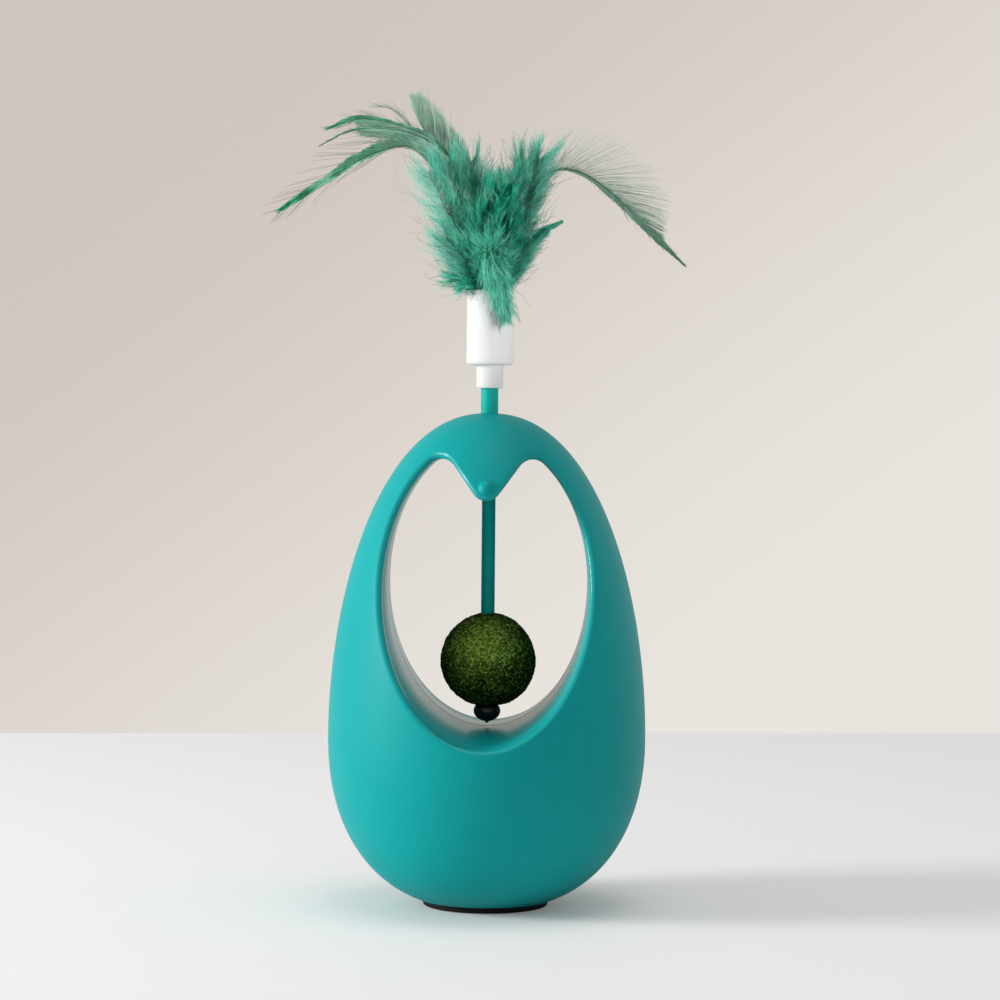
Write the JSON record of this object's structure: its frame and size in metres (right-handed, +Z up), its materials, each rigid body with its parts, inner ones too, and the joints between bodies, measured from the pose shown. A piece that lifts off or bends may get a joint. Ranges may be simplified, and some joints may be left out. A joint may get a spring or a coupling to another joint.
{
  "type": "tumbler cat toy",
  "caption": "Weighted egg that rights itself, with a window, a catnip ball swinging on a rod inside it and a pull-off feather top.",
  "frame": {"origin": "middle of the foot's underside, on the surface that the toy stands on", "axes": "+Z up along the egg's axis, -Y to the front where the pin's head shows, +X to the right seen from the front"},
  "size_m": [0.1104, 0.0836, 0.2134],
  "materials": {
    "shell": "satin",
    "foot_rubber": "matt",
    "weight_steel": "plain",
    "screw_steel": "zinc plated",
    "pin_plastic": "satin",
    "rod_plastic": "gloss",
    "bead_plastic": "satin",
    "catnip": "pressed leaf",
    "clear_plastic": "plain",
    "stem_plastic": "satin",
    "cup_plastic": "gloss",
    "vane": "dyed feather",
    "down": "dyed down"
  },
  "bodies": {
    "housing": {"front_shell": "shell", "rear_shell": "shell", "base_pad": "foot_rubber", "counterweight": "weight_steel", "screw_upper_left": "screw_steel", "screw_upper_right": "screw_steel", "screw_lower_left": "screw_steel", "screw_lower_right": "screw_steel", "pivot_pin": "pin_plastic", "pin_cap": "pin_plastic"},
    "pendulum": {"swing_rod": "rod_plastic", "stop_bead": "bead_plastic"},
    "ball": {"catnip_ball": "catnip", "ball_core": "clear_plastic"},
    "stem": {"feather_stem": "stem_plastic"},
    "feather_top": {"feather_cup": "cup_plastic", "quill_plug": "clear_plastic", "plume_left_long": "vane", "plume_left_upper": "vane", "plume_left_crest": "vane", "plume_left_wisp": "vane", "plume_right_long": "vane", "plume_right_short": "down", "down_left": "down", "down_right": "down", "down_centre": "down", "down_front": "down", "down_low_left": "down"}
  },
  "joints": [
    {"name": "pendulum_swing", "type": "hinge", "parent": "housing", "child": "pendulum", "pos_m": [0, 0, 0.1112], "axis": [0, 1, 0], "range_deg": [-4, 4]},
    {"name": "ball_spin", "type": "hinge", "parent": "pendulum", "child": "ball", "pos_m": [0, 0, 0.0647], "axis": [0, 0, 1], "continuous": true},
    {"name": "stem_swivel", "type": "hinge", "parent": "housing", "child": "stem", "pos_m": [0, 0, 0.1301], "axis": [0, 0, 1], "continuous": true},
    {"name": "feather_pull", "type": "slide", "parent": "stem", "child": "feather_top", "axis": [0, 0, 1], "range_m": [0, 0.01]}
  ]
}
